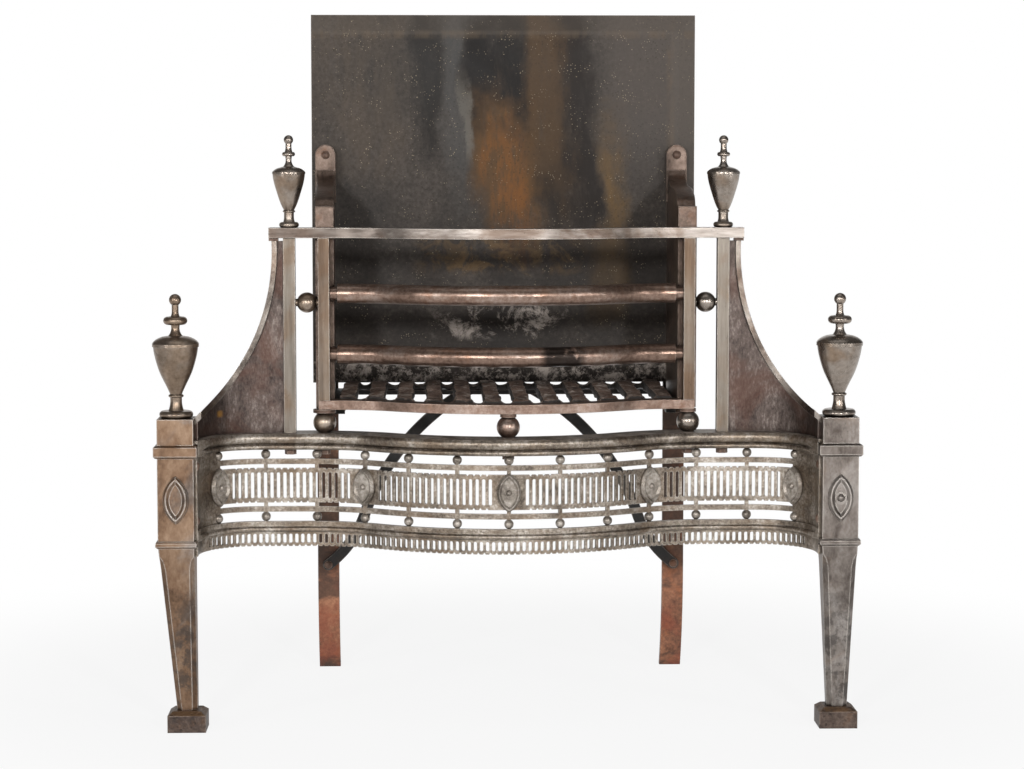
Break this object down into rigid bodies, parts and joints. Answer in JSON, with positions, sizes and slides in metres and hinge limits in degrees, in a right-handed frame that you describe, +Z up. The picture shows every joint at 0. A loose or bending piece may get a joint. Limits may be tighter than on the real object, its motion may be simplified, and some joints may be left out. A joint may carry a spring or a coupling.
{
  "type": "basket grate",
  "caption": "Free-standing steel fire basket with a serpentine pierced fret, urn finials on square tapered posts, cast cheeks and back plate, and a loose bottom grate that lifts out.",
  "frame": {"origin": "middle of the footprint, on the floor under the feet", "axes": "+X to the right seen from the front, +Y to the back plate, +Z up"},
  "size_m": [0.8164, 0.4078, 0.8375],
  "materials": {
    "post_steel": "aged, worn bright on the edges",
    "finial_steel": "old polish gone brown-grey",
    "fret_steel": "silvery with a tan patina",
    "wing_steel": "dark with red-brown mottling",
    "standard_steel": "satin, brushed along its length",
    "bar_iron": "red-brown oxide, soft sheen",
    "cheek_iron": "red-brown oxide",
    "plate_iron": "charcoal with rust and ash streaks",
    "grate_iron": "burnt, ashy",
    "leg_iron": "rusty",
    "brace_iron": "black",
    "foot_iron": "pitted and rusty",
    "fastener_iron": "rusty"
  },
  "bodies": {
    "frame": {"back_plate": "plate_iron", "basket_top_rail": "standard_steel", "basket_upright_left": "standard_steel", "basket_upright_right": "standard_steel", "bearer_rivets": "fastener_iron", "bottom_bar": "bar_iron", "brace_left": "brace_iron", "brace_right": "brace_iron", "brace_rivets": "fastener_iron", "cheek_left": "cheek_iron", "cheek_right": "cheek_iron", "cheek_rivets": "fastener_iron", "fire_bar_lower": "bar_iron", "fire_bar_upper": "bar_iron", "foot_left": "foot_iron", "foot_right": "foot_iron", "fret_bottom_rail": "fret_steel", "fret_oval_1": "fret_steel", "fret_oval_2": "fret_steel", "fret_oval_3": "fret_steel", "fret_oval_4": "fret_steel", "fret_oval_5": "fret_steel", "fret_pearls": "fret_steel", "fret_screws": "fastener_iron", "fret_sheet": "fret_steel", "fret_top_rail": "fret_steel", "front_finial_left": "finial_steel", "front_finial_right": "finial_steel", "leg_bolts": "fastener_iron", "leg_left": "post_steel", "leg_right": "post_steel", "post_cap_left": "post_steel", "post_cap_right": "post_steel", "post_die_left": "post_steel", "post_die_right": "post_steel", "post_patera_left": "post_steel", "post_patera_right": "post_steel", "rail_nuts": "fastener_iron", "rear_bearer": "brace_iron", "rear_finial_left": "finial_steel", "rear_finial_right": "finial_steel", "rear_leg_left": "leg_iron", "rear_leg_right": "leg_iron", "side_bearer_left": "brace_iron", "side_bearer_right": "brace_iron", "spacer_ball_left": "finial_steel", "spacer_ball_right": "finial_steel", "standard_left": "standard_steel", "standard_right": "standard_steel", "support_ball_centre": "bar_iron", "support_ball_left": "finial_steel", "support_ball_right": "finial_steel", "support_washers": "fastener_iron", "wing_bead_left": "wing_steel", "wing_bead_right": "wing_steel", "wing_left": "wing_steel", "wing_pads": "fastener_iron", "wing_right": "wing_steel"},
    "grate": {"bottom_grate": "grate_iron"}
  },
  "joints": [
    {"name": "grate_lift", "type": "slide", "parent": "frame", "child": "grate", "axis": [0, 0, 1], "range_m": [0, 0.33]}
  ]
}
